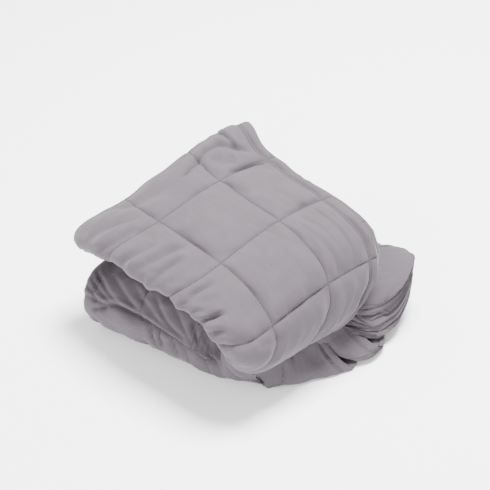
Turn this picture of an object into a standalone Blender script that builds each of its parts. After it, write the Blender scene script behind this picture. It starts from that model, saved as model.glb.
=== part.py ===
"""A quilted weighted blanket, folded in a soft pile. Metres, +Z up, standing on z = 0.

The blanket is one filled sheet. It is folded in half along its length, then in half twice across its width, which
makes a strip of eight sheets, and the strip is turned over once: a top bundle, a round turn, and a lower bundle.
X runs along the top bundle, from its ends to the turn. Y runs across it, from the closed folds to the hems.
"""

import math

import bpy
import numpy as np

# Driving dimensions of the blanket laid flat.
LENGTH = 1.52
WIDTH = 1.22
CELL = 0.114  # from one quilting seam to the next
HEM = 0.014  # from the edge to its topstitching
SHEETS = 8  # in the strip, two for each of its four layers
SEAM_THICK = 0.0028
CELL_THICK = 0.0070
CELL_SLOPE = 0.024  # how far from a seam the filling takes to reach its full thickness
PUFF = 0.0044  # how much more the sheet on the outside of the pile swells, on its free side

FOLDED_LENGTH = LENGTH / 2  # from the end fold to the short hems
SIDE_CELLS, END_CELLS = 9, 12
SIDE_BORDER, END_BORDER = 0.108, 0.107  # from the outer long hem and the outer short hem to the first seam
SIDE_SEAMS = [SIDE_BORDER + CELL * k for k in range(SIDE_CELLS + 1)]
END_SEAMS = [END_BORDER + CELL * k for k in range(END_CELLS + 1)]

# The strip, from its free end on the floor, round the turn and back along the top to its end fold. Each row gives
# its inner face (next to the mouth) and its outer face: x and z, and the turn about Z in degrees. "lift" lifts the
# outer face on the side of the hems, and "bow" pulls it back on both sides of the strip.
FACE_COLUMNS = ("in_x", "in_z", "in_turn", "out_x", "out_z", "out_turn", "lift", "bow")
FACES = (
    (-0.152, 0.088, 13, -0.138, 0.000, 13, 0.000, 0.000),
    (-0.095, 0.091, 11, -0.085, 0.000, 13, 0.000, 0.000),
    (-0.035, 0.093, 9, -0.020, 0.000, 13, 0.010, 0.000),
    (0.018, 0.090, 8, 0.040, 0.000, 13, 0.022, 0.000),
    (0.052, 0.086, 7, 0.085, 0.000, 13, 0.024, 0.006),
    (0.072, 0.083, 6, 0.118, 0.003, 13, 0.016, 0.012),
    (0.082, 0.085, 6, 0.140, 0.010, 12, 0.010, 0.016),
    (0.088, 0.089, 6, 0.154, 0.021, 8, 0.006, 0.016),
    (0.091, 0.092, 6, 0.161, 0.036, 2, 0.010, 0.010),
    (0.093, 0.094, 6, 0.176, 0.054, -1, 0.000, 0.002),
    (0.094, 0.096, 6, 0.185, 0.077, -1, 0.000, 0.000),
    (0.094, 0.098, 6, 0.187, 0.102, 0, 0.000, 0.000),
    (0.091, 0.100, 5, 0.180, 0.128, 0, 0.000, 0.000),
    (0.083, 0.101, 4, 0.160, 0.152, 0, 0.000, 0.000),
    (0.068, 0.102, 3, 0.126, 0.170, 0, 0.000, 0.000),
    (0.040, 0.103, 1, 0.080, 0.181, 0, 0.000, 0.000),
    (0.000, 0.104, -1, 0.028, 0.187, -1, 0.000, 0.000),
    (-0.040, 0.104, -3, -0.018, 0.188, -3, 0.004, 0.000),
    (-0.074, 0.104, -4, -0.062, 0.186, -4, 0.014, 0.000),
    (-0.098, 0.103, -6, -0.095, 0.179, -6, 0.035, 0.000),
    (-0.112, 0.102, -8, -0.117, 0.168, -8, 0.044, 0.000),
)
# For the same rows, where the closed fold, the open fold and the long hems lie across the strip. The two long
# sides of the blanket are b (outside) and a (inside), and each has an outer and an inner sheet.
EDGE_COLUMNS = ("closed", "open", "b_out", "b_in", "a_in", "a_out")
EDGES = (
    (-0.176, 0.106, 0.118, 0.112, 0.108, 0.104),
    (-0.182, 0.108, 0.124, 0.118, 0.112, 0.108),
    (-0.182, 0.112, 0.128, 0.122, 0.118, 0.116),
    (-0.182, 0.126, 0.136, 0.134, 0.130, 0.128),
    (-0.181, 0.137, 0.110, 0.134, 0.138, 0.138),
    (-0.180, 0.143, 0.030, 0.090, 0.142, 0.142),
    (-0.177, 0.143, -0.036, 0.020, 0.138, 0.140),
    (-0.172, 0.118, -0.040, 0.008, 0.100, 0.110),
    (-0.165, 0.090, -0.024, 0.022, 0.050, 0.060),
    (-0.168, 0.088, 0.012, 0.038, 0.040, 0.044),
    (-0.176, 0.092, 0.052, 0.054, 0.054, 0.054),
    (-0.184, 0.096, 0.070, 0.067, 0.065, 0.064),
    (-0.189, 0.102, 0.079, 0.076, 0.072, 0.070),
    (-0.191, 0.109, 0.092, 0.086, 0.081, 0.078),
    (-0.191, 0.111, 0.095, 0.089, 0.083, 0.080),
    (-0.191, 0.112, 0.095, 0.089, 0.083, 0.080),
    (-0.192, 0.112, 0.092, 0.087, 0.082, 0.079),
    (-0.194, 0.110, 0.089, 0.086, 0.081, 0.078),
    (-0.196, 0.106, 0.088, 0.085, 0.080, 0.078),
    (-0.197, 0.103, 0.090, 0.084, 0.079, 0.077),
    (-0.196, 0.101, 0.092, 0.083, 0.078, 0.076),
)
# Under the turn, on the side of the hems, the strip's sheets fan out. For places across the strip, in a frame turned
# by FAN_TURN: how far the tips of four sheets reach and how high they are. TIP_SHARES says how far through the
# strip those sheets lie, from its inner face (0) to its outer one (1). The sheets between lie between them.
TIP_SHARES = (0.0, 0.6875, 0.8125, 0.9375)
TIP_COLUMNS = ("y", "inner_x", "upper_x", "middle_x", "lowest_x", "inner_z", "upper_z", "middle_z", "lowest_z")
TIPS = (
    (-0.190, 0.110, 0.130, 0.132, 0.126, 0.070, 0.030, 0.018, 0.0075),
    (-0.150, 0.110, 0.130, 0.132, 0.128, 0.070, 0.030, 0.018, 0.0075),
    (-0.133, 0.110, 0.130, 0.134, 0.134, 0.070, 0.030, 0.018, 0.0075),
    (-0.112, 0.110, 0.130, 0.140, 0.154, 0.070, 0.030, 0.018, 0.0075),
    (-0.082, 0.110, 0.130, 0.164, 0.178, 0.070, 0.030, 0.016, 0.0075),
    (-0.051, 0.110, 0.134, 0.190, 0.198, 0.068, 0.028, 0.014, 0.0075),
    (-0.030, 0.112, 0.144, 0.206, 0.206, 0.064, 0.026, 0.013, 0.0075),
    (-0.015, 0.118, 0.164, 0.214, 0.208, 0.058, 0.024, 0.013, 0.0075),
    (0.011, 0.162, 0.204, 0.216, 0.208, 0.050, 0.022, 0.013, 0.0075),
    (0.047, 0.192, 0.213, 0.213, 0.206, 0.058, 0.022, 0.013, 0.0075),
    (0.073, 0.207, 0.210, 0.208, 0.200, 0.073, 0.027, 0.014, 0.0080),
    (0.100, 0.206, 0.205, 0.202, 0.192, 0.084, 0.037, 0.023, 0.0130),
    (0.125, 0.198, 0.194, 0.191, 0.184, 0.091, 0.048, 0.035, 0.0230),
    (0.150, 0.184, 0.180, 0.176, 0.170, 0.095, 0.058, 0.045, 0.0330),
)
SPREAD_FROM = (0.000, -0.018, -0.060, -0.190)  # where across the strip the same four sheets start to spread
SPREAD_OVER = 0.028  # and how much further they have spread fully
SPREAD_ROW, SPREAD_ROWS = 6.4, 2.6  # the row of FACES where they reach the tips, and for how many rows beside it
FAN_TURN = 13  # degrees about Z
TUCK_ROW = 8  # the row where the turn tucks in over the fan
DENSE = 24  # points of the smooth curve between two rows
LIFT_FROM, LIFT_TO = 0.030, 0.140  # across the strip, where the lift of the lower bundle starts and is full
FLAP_FROM, FLAP_TO = -0.110, 0.100  # and that of the top bundle
BOW_AT = 0.150  # how far from the strip's middle the bow is full
CROWN_AT = 0.190  # how far from the strip's middle its top has dropped
CROWN_CLOSED, CROWN_OPEN = 0.028, 0.016  # by how much, on the two sides
MOUTH_RISE = 0.021  # how far the top bundle's inner face rises towards the closed folds, over the mouth
MOUTH_FROM, MOUTH_OVER = -0.112, 0.080  # the in_x where that starts, and where it is full
MOUTH_TO, MOUTH_END = 0.104, 0.030  # and the in_x where it ends
ROOM = 0.42  # the largest half thickness of a sheet, as a share of the room it has between its neighbours
TINY = 0.0002
SINK = 0.0045  # how far the pile is sunk into the floor, and flattened there
MIDDLE = (0.0233, -0.0133)  # the middle of the pile in FACES' x and y, which becomes the origin


def smooth_curve(rows):
    """A smooth curve through the rows (Catmull-Rom), with DENSE points between two of them."""
    points = np.array(rows, float)
    ends = np.vstack([2 * points[0] - points[1], points, 2 * points[-1] - points[-2]])
    pieces = []
    t = (np.arange(DENSE) / DENSE)[:, None]
    for a, b, c, d in zip(ends, ends[1:], ends[2:], ends[3:]):
        cubic = (2 * a - 5 * b + 4 * c - d) * t**2 + (3 * b - a - 3 * c + d) * t**3
        pieces.append(0.5 * (2 * b + (c - a) * t + cubic))
    return np.vstack([*pieces, points[-1:]])


FACE_CURVE = smooth_curve(FACES)
EDGE_CURVE = smooth_curve(EDGES)


def lengths_along(points):
    """Distance from the first point to each point, along the line."""
    steps = np.linalg.norm(np.diff(points, axis=0), axis=1)
    return np.concatenate([[0.0], np.cumsum(steps)])


def cloth_along_strip():
    """How much cloth lies between the end fold and each point of FACE_CURVE.

    On the top bundle and the turn, the cloth follows the outer face. The rest is gathered in the lower bundle.
    """
    outer = lengths_along(FACE_CURVE[:, 3:5])
    from_fold = outer[-1] - outer
    tuck = from_fold[TUCK_ROW * DENSE]
    gathered = (FOLDED_LENGTH - tuck) / (from_fold[0] - tuck)
    return np.where(from_fold <= tuck, from_fold, tuck + (from_fold - tuck) * gathered)


CLOTH_ALONG = cloth_along_strip()
TUCK = CLOTH_ALONG[TUCK_ROW * DENSE]


def strip_at(cloth, curve):
    """The columns of a curve where that much cloth lies between there and the end fold."""
    return np.array([np.interp(cloth, CLOTH_ALONG[::-1], column[::-1]) for column in curve.T])


def arc(centre, radius, start, turn, count):
    """The points inside a half circle in the (y, height) plane, from angle start, and the line's direction there.

    turn is +1 to turn left and -1 to turn right.
    """
    angles = start + turn * math.pi * np.arange(1, count) / count
    points = np.stack([centre[0] + radius * np.cos(angles), centre[1] + radius * np.sin(angles)], axis=1)
    return points, turn * np.stack([-np.sin(angles), np.cos(angles)], axis=1)


def straight(start, end, height, shares):
    """Points at shares of the way from one y to another, at one height, and the line's direction there."""
    shares = np.array(shares)
    points = np.stack([start + (end - start) * shares, np.full(len(shares), height)], axis=1)
    return points, np.tile([math.copysign(1.0, end - start), 0.0], (len(shares), 1))


# How many spans each stretch of the section is drawn with: four layers and the three folds between them.
OUTER_FOLD_SPANS = 8
LAYER_4_SPANS = 4
OPEN_FOLD_SPANS = 6
LAYER_3_SPANS = 3
INNER_FOLD_SPANS = 5
LAYER_2_SPANS = 4
# Shares of layer 1's length where it has a point. On the top they fall on its hem, its two seams and beside them.
LAYER_1_SHARES = (0.0, 0.055, 0.19, 0.33, 0.376, 0.42, 0.60, 0.77, 0.815, 0.86, 1.0)


def even(count):
    return np.arange(count + 1) / count


def section(closed, open_fold, hem_b, hem_a, height):
    """The middle line of the four double layers at one place along the strip, from hem b to hem a.

    Points are (y, height above the inner face); layers lie at 7/8, 5/8, 3/8 and 1/8 of the strip's height. The
    second array holds the direction of the line at each point.
    """
    pitch = height / 4
    first, second, third, fourth = (height - pitch / 2 - pitch * k for k in range(4))
    fold_y = closed + 2 * pitch
    turn_y = open_fold - pitch
    pieces = [
        straight(hem_b, fold_y, first, LAYER_1_SHARES),
        arc((fold_y, height / 2), 1.5 * pitch, math.pi / 2, 1, OUTER_FOLD_SPANS),
        straight(fold_y, turn_y, fourth, even(LAYER_4_SPANS)),
        arc((turn_y, pitch), pitch / 2, -math.pi / 2, 1, OPEN_FOLD_SPANS),
        straight(turn_y, fold_y, third, even(LAYER_3_SPANS)),
        arc((fold_y, height / 2), pitch / 2, -math.pi / 2, -1, INNER_FOLD_SPANS),
        straight(fold_y, hem_a, second, even(LAYER_2_SPANS)),
    ]
    return tuple(np.vstack(arrays) for arrays in zip(*pieces))


TURN_STEP = 0.0095  # between two rows of points where the cloth turns and fans out
TURN_ROWS = (-5, 13)  # how many of them lie before and after the tuck
END_FOLD_ROWS = 6
NEAR_SEAM = 0.012  # a row lies this far from each seam of the top, on both sides


def rows_of_sheet(length, seams, turn, fine_to):
    """Distances from the end fold of one sheet's rows of points, from its short hem to the end fold."""
    rows = [length - 0.0005, length - HEM]
    for seam, following in zip(seams, seams[1:]):
        seam, following = length - seam, length - following
        if following < -CELL / 2:
            break
        rows += [seam, (seam + following) / 2]
        if seam < fine_to:
            rows += [seam - NEAR_SEAM, following + NEAR_SEAM]
    start, end = turn[0] - TURN_STEP / 2, turn[-1] + TURN_STEP / 2
    rows = [c for c in rows if c > NEAR_SEAM and not start < c < end]
    return sorted(rows + turn, reverse=True)


def sheet_rows():
    """(cloth from the end fold, angle round it) of each row of points, from one short hem to the other.

    The angle is 0 on the outer sheet of each layer and pi on the inner one.
    """
    turn = [TUCK + TURN_STEP * k for k in range(*TURN_ROWS)]
    rows = [(c, 0.0) for c in rows_of_sheet(FOLDED_LENGTH, END_SEAMS, turn, TUCK)]
    rows += [(0.0, angle) for angle in np.linspace(0, math.pi, END_FOLD_ROWS)]
    inner_seams = [LENGTH - seam for seam in END_SEAMS[::-1]]
    rows += [(c, math.pi) for c in reversed(rows_of_sheet(FOLDED_LENGTH, inner_seams, turn, 0.0))]
    return rows


def turned(x, y, degrees):
    angle = math.radians(degrees)
    return x * math.cos(angle) - y * math.sin(angle), x * math.sin(angle) + y * math.cos(angle)


def eased(t):
    t = np.clip(t, 0, 1)
    return t * t * (3 - 2 * t)


TIP_CURVE = smooth_curve(TIPS)


def fan_out(x, z, share, y, row):
    """How far points reach out and rise towards the tips of the fan."""
    if abs(row - SPREAD_ROW) >= SPREAD_ROWS:
        return np.zeros(len(y)), np.zeros(len(y))
    spread = math.cos(math.pi / 2 * (row - SPREAD_ROW) / SPREAD_ROWS) ** 2
    tips = np.array([np.interp(y, TIP_CURVE[:, 0], column) for column in TIP_CURVE.T[1:]])
    tip_x, tip_z, start = np.zeros(len(y)), np.zeros(len(y)), np.interp(share, TIP_SHARES, SPREAD_FROM)
    for k in range(len(y)):
        tip_x[k] = np.interp(share[k], TIP_SHARES, tips[:4, k])
        tip_z[k] = np.interp(share[k], TIP_SHARES, tips[4:, k])
    spread = spread * eased((y - start) / SPREAD_OVER)
    return (tip_x - x) * spread, (tip_z - z) * spread


def place(line, row, face):
    """Points (y, height) of the section carried to their place on the strip, and the room each sheet has there."""
    in_x, in_z, in_turn, out_x, out_z, out_turn, lift, bow = face
    y, height = line[:, 0], line[:, 1]
    share = height / math.dist((in_x, in_z), (out_x, out_z))
    on_top = eased((out_z - 0.06) / 0.10)
    lifted = eased((y - LIFT_FROM) / (LIFT_TO - LIFT_FROM)) * (1 - on_top)
    lifted += eased((y - FLAP_FROM) / (FLAP_TO - FLAP_FROM)) * on_top
    crown = np.where(y < 0, CROWN_CLOSED, CROWN_OPEN) * eased(np.abs(y) / CROWN_AT) * on_top
    mouth = MOUTH_RISE * eased(-y / CROWN_AT) * on_top
    mouth = mouth * eased((in_x - MOUTH_FROM) / MOUTH_OVER) * eased((MOUTH_TO - in_x) / MOUTH_END)
    inner_x, inner_y = turned(in_x, y, in_turn)
    outer_x, outer_y = turned(out_x - bow * (y / BOW_AT) ** 4, y, out_turn)
    inner = np.stack([inner_x, inner_y, in_z + mouth], axis=1)
    across = np.stack([outer_x, outer_y, out_z + lift * lifted - crown], axis=1) - inner
    points = inner + across * share[:, None]
    reach, rise = fan_out(turned(points[:, 0], points[:, 1], -FAN_TURN)[0], points[:, 2], share, y, row)
    reach_x, reach_y = turned(reach, 0.0, FAN_TURN)
    return points + np.stack([reach_x, reach_y, rise], axis=1), np.linalg.norm(across, axis=1) / SHEETS


def sheet_row(from_fold, angle):
    """One row of points half way through the cloth.

    Gives the points, the line's direction there, the cloth across, the room for each sheet, and the row of FACES.
    """
    side, bulge = math.cos(angle), math.sin(angle)
    face = strip_at(from_fold, FACE_CURVE)
    closed, open_fold, b_out, b_in, a_in, a_out = strip_at(from_fold, EDGE_CURVE)
    row = float(np.interp(from_fold, CLOTH_ALONG[::-1], np.arange(len(CLOTH_ALONG))[::-1] / DENSE))
    height = math.dist((face[0], face[1]), (face[3], face[4]))
    sheet = height / SHEETS
    outward = (side + 1) / 2
    line, direction = section(closed, open_fold, b_in + (b_out - b_in) * outward, a_in + (a_out - a_in) * outward,
                              height)
    across = lengths_along(line)
    right = np.stack([direction[:, 1], -direction[:, 0]], axis=1)
    line = line + right * side * sheet / 2
    points, room = place(line, row, face)
    along_line = place(line + direction * TINY, row, face)[0] - place(line - direction * TINY, row, face)[0]
    points[:, 0] -= bulge * sheet / 2
    return points, along_line, across * WIDTH / across[-1], room, row


def middle_surface():
    """Grids half way through the cloth: its points, its unit normals on the outer side, the cloth coordinates
    (across, along) of each point, how much of the extra swelling it takes, whether it keeps its filling (1) or is
    pressed flat in the fan (0), and the room it has."""
    points, normals, cloth, free, filled, rooms = [], [], [], [], [], []
    for from_fold, angle in sheet_rows():
        row_points, along_line, across, room, row = sheet_row(from_fold, angle)
        if from_fold > 0:
            step = TINY * math.cos(angle)
            ahead, behind = sheet_row(from_fold - step, angle)[0], sheet_row(from_fold + step, angle)[0]
        else:
            ahead, behind = sheet_row(0.0, angle + TINY)[0], sheet_row(0.0, angle - TINY)[0]
        normal = np.cross(ahead - behind, along_line)
        points.append(row_points)
        normals.append(normal / np.linalg.norm(normal, axis=1)[:, None])
        along = FOLDED_LENGTH - from_fold if angle < math.pi / 2 else FOLDED_LENGTH + from_fold
        cloth.append(np.stack([across, np.full(len(across), along)], axis=1))
        outside = np.arange(len(across)) < len(LAYER_1_SHARES) + OUTER_FOLD_SPANS - 2
        near_tuck = eased(1.6 - abs(row - TUCK_ROW) / 1.5)
        free.append(outside * (math.cos(angle) + 1) / 2 * eased((row - 4) / 3) * (1 - near_tuck))
        filled.append(np.full(len(across), 1 - eased(2.2 - abs(row - SPREAD_ROW) / 1.5)))
        rooms.append(room)
    return tuple(np.array(grid) for grid in (points, normals, cloth, free, filled, rooms))


def fullness(cloth):
    """How full the cloth is: 0 on the seams and on the hem's stitching, 1 in the middle of each cell."""
    full = np.ones(cloth.shape[:2])
    for seams, axis, size in ((SIDE_SEAMS, 0, WIDTH), (END_SEAMS, 1, LENGTH)):
        away = np.min([np.abs(cloth[:, :, axis] - s) for s in [0.0, HEM, *seams, size - HEM, size]], axis=0)
        full *= 1 - (1 - np.clip(away / CELL_SLOPE, 0, 1)) ** 2
    return full


def closed_sheet(front, back):
    """Vertices and faces of the solid between two grids of points."""
    rows, columns = front.shape[:2]
    under = rows * columns
    faces = []
    for i in range(rows - 1):
        for j in range(columns - 1):
            a, b = i * columns + j, (i + 1) * columns + j
            faces.append((a, b, b + 1, a + 1))
            faces.append((under + a + 1, under + b + 1, under + b, under + a))
    rim = [*range(columns), *(i * columns + columns - 1 for i in range(1, rows))]
    rim += [(rows - 1) * columns + j for j in range(columns - 2, -1, -1)]
    rim += [i * columns for i in range(rows - 2, 0, -1)]
    for a, b in zip(rim, rim[1:] + rim[:1]):
        faces.append((a, b, under + b, under + a))
    return np.concatenate([front.reshape(-1, 3), back.reshape(-1, 3)]), faces


def build_blanket():
    points, normals, cloth, free, filled, room = middle_surface()
    full = fullness(cloth) * filled
    half = np.minimum((SEAM_THICK + (CELL_THICK - SEAM_THICK) * full) / 2, ROOM * room)
    front = points + normals * (half + PUFF * full * free)[:, :, None]
    back = points - normals * half[:, :, None]
    vertices, faces = closed_sheet(front, back)
    vertices[:, :2] -= MIDDLE
    vertices[:, 2] = np.maximum(vertices[:, 2] - SINK, 0.0)
    mesh = bpy.data.meshes.new("blanket")
    mesh.from_pydata(vertices.tolist(), [], faces)
    mesh.shade_smooth()
    blanket = bpy.data.objects.new("blanket", mesh)
    bpy.context.scene.collection.objects.link(blanket)
    return blanket


def main():
    for old in list(bpy.data.objects):
        bpy.data.objects.remove(old)
    build_blanket()


main()
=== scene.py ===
"""The looks of a quilted weighted blanket, folded in a soft pile.

The cloth is laid along nearly the same folded path as the model's solid, as one fine closed mesh. What
shows on it is worked out in the blanket's own flat coordinates, in metres: s runs across it from its
outer long hem, and t runs along it from its outer short hem. Stitches are small pieces of thread placed
along the same seams.
"""

import math

import bpy
import numpy as np
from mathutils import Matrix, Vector


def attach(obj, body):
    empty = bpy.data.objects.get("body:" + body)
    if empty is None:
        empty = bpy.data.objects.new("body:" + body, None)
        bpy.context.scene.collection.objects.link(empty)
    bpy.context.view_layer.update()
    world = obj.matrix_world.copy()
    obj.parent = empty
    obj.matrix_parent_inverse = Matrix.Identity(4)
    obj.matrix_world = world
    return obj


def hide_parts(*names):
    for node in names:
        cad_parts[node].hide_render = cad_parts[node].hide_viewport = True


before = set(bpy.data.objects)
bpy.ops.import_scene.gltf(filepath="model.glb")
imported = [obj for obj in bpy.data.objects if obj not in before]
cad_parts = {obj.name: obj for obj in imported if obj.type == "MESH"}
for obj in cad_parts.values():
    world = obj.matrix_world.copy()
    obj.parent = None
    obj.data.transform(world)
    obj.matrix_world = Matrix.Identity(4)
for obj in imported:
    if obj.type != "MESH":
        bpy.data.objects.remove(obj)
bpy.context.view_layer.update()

FAR = 9.0  # farther than anything here
NEARLY_ZERO = 1e-9

# The blanket laid flat.
LENGTH = 1.52
WIDTH = 1.22
CELL = 0.114  # from one quilting seam to the next
HEMS = (0.0160, 0.0202)  # from the edge to its two rows of topstitching
SHEETS = 8  # in the strip, two for each of its four layers
LAYERS = SHEETS // 2
FOLDED_LENGTH = LENGTH / 2  # from the end fold to the short hems
SIDE_CELLS, END_CELLS = 9, 12
SIDE_BORDER, END_BORDER = 0.108, 0.107  # from the outer long hem and the outer short hem to the first seam
SIDE_SEAMS = [SIDE_BORDER + CELL * k for k in range(SIDE_CELLS + 1)]
END_SEAMS = [END_BORDER + CELL * k for k in range(END_CELLS + 1)]
# All lines of stitching: by their s where they run along the cloth, and by their t where they run across.
SIDE_LINES = [*HEMS, *SIDE_SEAMS, *(WIDTH - hem for hem in HEMS)]
END_LINES = [*HEMS, *END_SEAMS, *(LENGTH - hem for hem in HEMS)]

# The folded path is that of the model's solid, with two changes. At rows 7 to 10 of FACES, counted from
# 0, the foot of the turn is tucked in closer over the fan. At rows 9 to 16 of EDGES the hems are moved a
# little, so that the second sheet's shows past the outer one.
# FACES follows the strip from its free end on the floor, round the turn and back along the top to its end
# fold. Its columns are the inner face (next to the mouth) and the outer face, each with x, z and the turn
# about Z in degrees, then how far the outer face is lifted on the side of the hems, and how far it is
# pulled back on both sides of the strip.
FACES = (
    (-0.152, 0.088, 13, -0.138, 0.000, 13, 0.000, 0.000),
    (-0.095, 0.091, 11, -0.085, 0.000, 13, 0.000, 0.000),
    (-0.035, 0.093, 9, -0.020, 0.000, 13, 0.010, 0.000),
    (0.018, 0.090, 8, 0.040, 0.000, 13, 0.022, 0.000),
    (0.052, 0.086, 7, 0.085, 0.000, 13, 0.024, 0.006),
    (0.072, 0.083, 6, 0.118, 0.003, 13, 0.016, 0.012),
    (0.082, 0.085, 6, 0.140, 0.010, 12, 0.010, 0.016),
    (0.088, 0.089, 6, 0.151, 0.026, 8, 0.006, 0.014),
    (0.091, 0.092, 6, 0.149, 0.040, 2, 0.010, 0.008),
    (0.093, 0.094, 6, 0.174, 0.047, -1, 0.000, 0.002),
    (0.094, 0.096, 6, 0.187, 0.074, -1, 0.000, 0.000),
    (0.094, 0.098, 6, 0.187, 0.102, 0, 0.000, 0.000),
    (0.091, 0.100, 5, 0.180, 0.128, 0, 0.000, 0.000),
    (0.083, 0.101, 4, 0.160, 0.152, 0, 0.000, 0.000),
    (0.068, 0.102, 3, 0.126, 0.170, 0, 0.000, 0.000),
    (0.040, 0.103, 1, 0.080, 0.181, 0, 0.000, 0.000),
    (0.000, 0.104, -1, 0.028, 0.187, -1, 0.000, 0.000),
    (-0.040, 0.104, -3, -0.018, 0.188, -3, 0.004, 0.000),
    (-0.074, 0.104, -4, -0.062, 0.186, -4, 0.014, 0.000),
    (-0.098, 0.103, -6, -0.095, 0.179, -6, 0.035, 0.000),
    (-0.112, 0.102, -8, -0.117, 0.168, -8, 0.044, 0.000),
)
# For the same rows, where across the strip these lie: the closed fold, the open fold, and the long hems
# of the four sheets, b outer, b inner, a inner and a outer. Side b of the blanket is on the outside of
# the pile.
EDGES = (
    (-0.176, 0.106, 0.118, 0.112, 0.108, 0.104),
    (-0.182, 0.108, 0.124, 0.118, 0.112, 0.108),
    (-0.182, 0.112, 0.128, 0.122, 0.118, 0.116),
    (-0.182, 0.126, 0.136, 0.134, 0.130, 0.128),
    (-0.181, 0.137, 0.110, 0.134, 0.138, 0.138),
    (-0.180, 0.143, 0.030, 0.090, 0.142, 0.142),
    (-0.177, 0.143, -0.036, 0.020, 0.138, 0.140),
    (-0.172, 0.118, -0.040, 0.008, 0.100, 0.110),
    (-0.165, 0.090, -0.024, 0.022, 0.050, 0.060),
    (-0.168, 0.088, 0.004, 0.038, 0.040, 0.044),
    (-0.176, 0.092, 0.034, 0.056, 0.056, 0.056),
    (-0.184, 0.096, 0.060, 0.074, 0.067, 0.065),
    (-0.189, 0.102, 0.073, 0.087, 0.078, 0.073),
    (-0.191, 0.109, 0.083, 0.099, 0.088, 0.081),
    (-0.191, 0.111, 0.087, 0.102, 0.091, 0.083),
    (-0.191, 0.112, 0.089, 0.101, 0.090, 0.083),
    (-0.192, 0.112, 0.088, 0.097, 0.088, 0.082),
    (-0.194, 0.110, 0.089, 0.086, 0.081, 0.078),
    (-0.196, 0.106, 0.088, 0.085, 0.080, 0.078),
    (-0.197, 0.103, 0.090, 0.084, 0.079, 0.077),
    (-0.196, 0.101, 0.092, 0.083, 0.078, 0.076),
)
# Under the turn, on the side of the hems, the strip's sheets fan out. For places across the strip, in a
# frame turned by FAN_TURN: how far the tips of four sheets reach, and how high they are. TIP_SHARES says
# how far through the strip those sheets lie, from its inner face (0) to its outer one (1). The sheets
# between lie between them.
TIP_SHARES = (0.0, 0.6875, 0.8125, 0.9375)
TIPS = (
    (-0.190, 0.110, 0.130, 0.132, 0.126, 0.070, 0.030, 0.018, 0.0075),
    (-0.150, 0.110, 0.130, 0.132, 0.128, 0.070, 0.030, 0.018, 0.0075),
    (-0.133, 0.110, 0.130, 0.134, 0.134, 0.070, 0.030, 0.018, 0.0075),
    (-0.112, 0.110, 0.130, 0.140, 0.154, 0.070, 0.030, 0.018, 0.0075),
    (-0.082, 0.110, 0.130, 0.164, 0.178, 0.070, 0.030, 0.016, 0.0075),
    (-0.051, 0.110, 0.134, 0.190, 0.198, 0.068, 0.028, 0.014, 0.0075),
    (-0.030, 0.112, 0.144, 0.206, 0.206, 0.064, 0.026, 0.013, 0.0075),
    (-0.015, 0.118, 0.164, 0.214, 0.208, 0.058, 0.024, 0.013, 0.0075),
    (0.011, 0.162, 0.204, 0.216, 0.208, 0.050, 0.022, 0.013, 0.0075),
    (0.047, 0.192, 0.213, 0.213, 0.206, 0.058, 0.022, 0.013, 0.0075),
    (0.073, 0.207, 0.210, 0.208, 0.200, 0.073, 0.027, 0.014, 0.0080),
    (0.100, 0.206, 0.205, 0.202, 0.192, 0.084, 0.037, 0.023, 0.0130),
    (0.125, 0.198, 0.194, 0.191, 0.184, 0.091, 0.048, 0.035, 0.0230),
    (0.150, 0.184, 0.180, 0.176, 0.170, 0.095, 0.058, 0.045, 0.0330),
)
SPREAD_FROM = (0.000, -0.018, -0.060, -0.190)  # where across the strip the same four sheets start to spread
SPREAD_OVER = 0.028  # and how much further they have spread fully
SPREAD_ROW, SPREAD_ROWS = 6.4, 2.6  # the row of FACES where they do so fully, and how many rows beside it
FAN_TURN = 13  # degrees about Z
TUCK_ROW = 8  # the row where the turn tucks in over the fan
DENSE = 24  # points of the smooth curve between two rows
TOP_FROM, TOP_OVER = 0.06, 0.10  # the outer face's height where the top bundle begins, and over what rise
LIFT_FROM, LIFT_TO = 0.030, 0.140  # across the strip, where the lift of the lower bundle starts and is full
FLAP_FROM, FLAP_TO = -0.110, 0.100  # and that of the top bundle
BOW_AT = 0.150  # how far from the strip's middle the bow is full
CROWN_AT = 0.190  # how far from the strip's middle its top has dropped
CROWN_CLOSED, CROWN_OPEN = 0.028, 0.016  # by how much, on the two sides
MOUTH_RISE = 0.021  # how far the top bundle's inner face rises towards the closed folds, over the mouth
MOUTH_FROM, MOUTH_OVER = -0.112, 0.080  # the inner face's x where that starts, and over what length it grows
MOUTH_TO, MOUTH_END = 0.104, 0.030  # and the x where it ends, and over what length it fades
ROOM = 0.42  # the largest half thickness of a sheet, as a share of the room it has between its neighbours
TINY = 0.0002  # the step that directions are measured over
SINK = 0.0045  # how far the pile is sunk into the floor, and flattened there
MIDDLE = (0.0233, -0.0133)  # the middle of the pile in FACES' x and y, which becomes the origin

# The cloth's whole thickness on a seam and in a cell, and how much more it swells on its free side.
SEAM_THICK = 0.0028
CELL_THICK = 0.0070
PUFF = 0.0044


def smooth_curve(rows):
    """A smooth curve through the rows (Catmull-Rom), with DENSE points between two of them."""
    points = np.array(rows, float)
    ends = np.vstack([2 * points[0] - points[1], points, 2 * points[-1] - points[-2]])
    pieces = []
    t = (np.arange(DENSE) / DENSE)[:, None]
    for a, b, c, d in zip(ends, ends[1:], ends[2:], ends[3:]):
        cubic = (2 * a - 5 * b + 4 * c - d) * t**2 + (3 * b - a - 3 * c + d) * t**3
        pieces.append(0.5 * (2 * b + (c - a) * t + cubic))
    return np.vstack([*pieces, points[-1:]])


FACE_CURVE = smooth_curve(FACES)
EDGE_CURVE = smooth_curve(EDGES)
TIP_CURVE = smooth_curve(TIPS)


def lengths_along(points):
    """Distance from the first point to each point, along the line."""
    steps = np.linalg.norm(np.diff(points, axis=0), axis=1)
    return np.concatenate([[0.0], np.cumsum(steps)])


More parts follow.
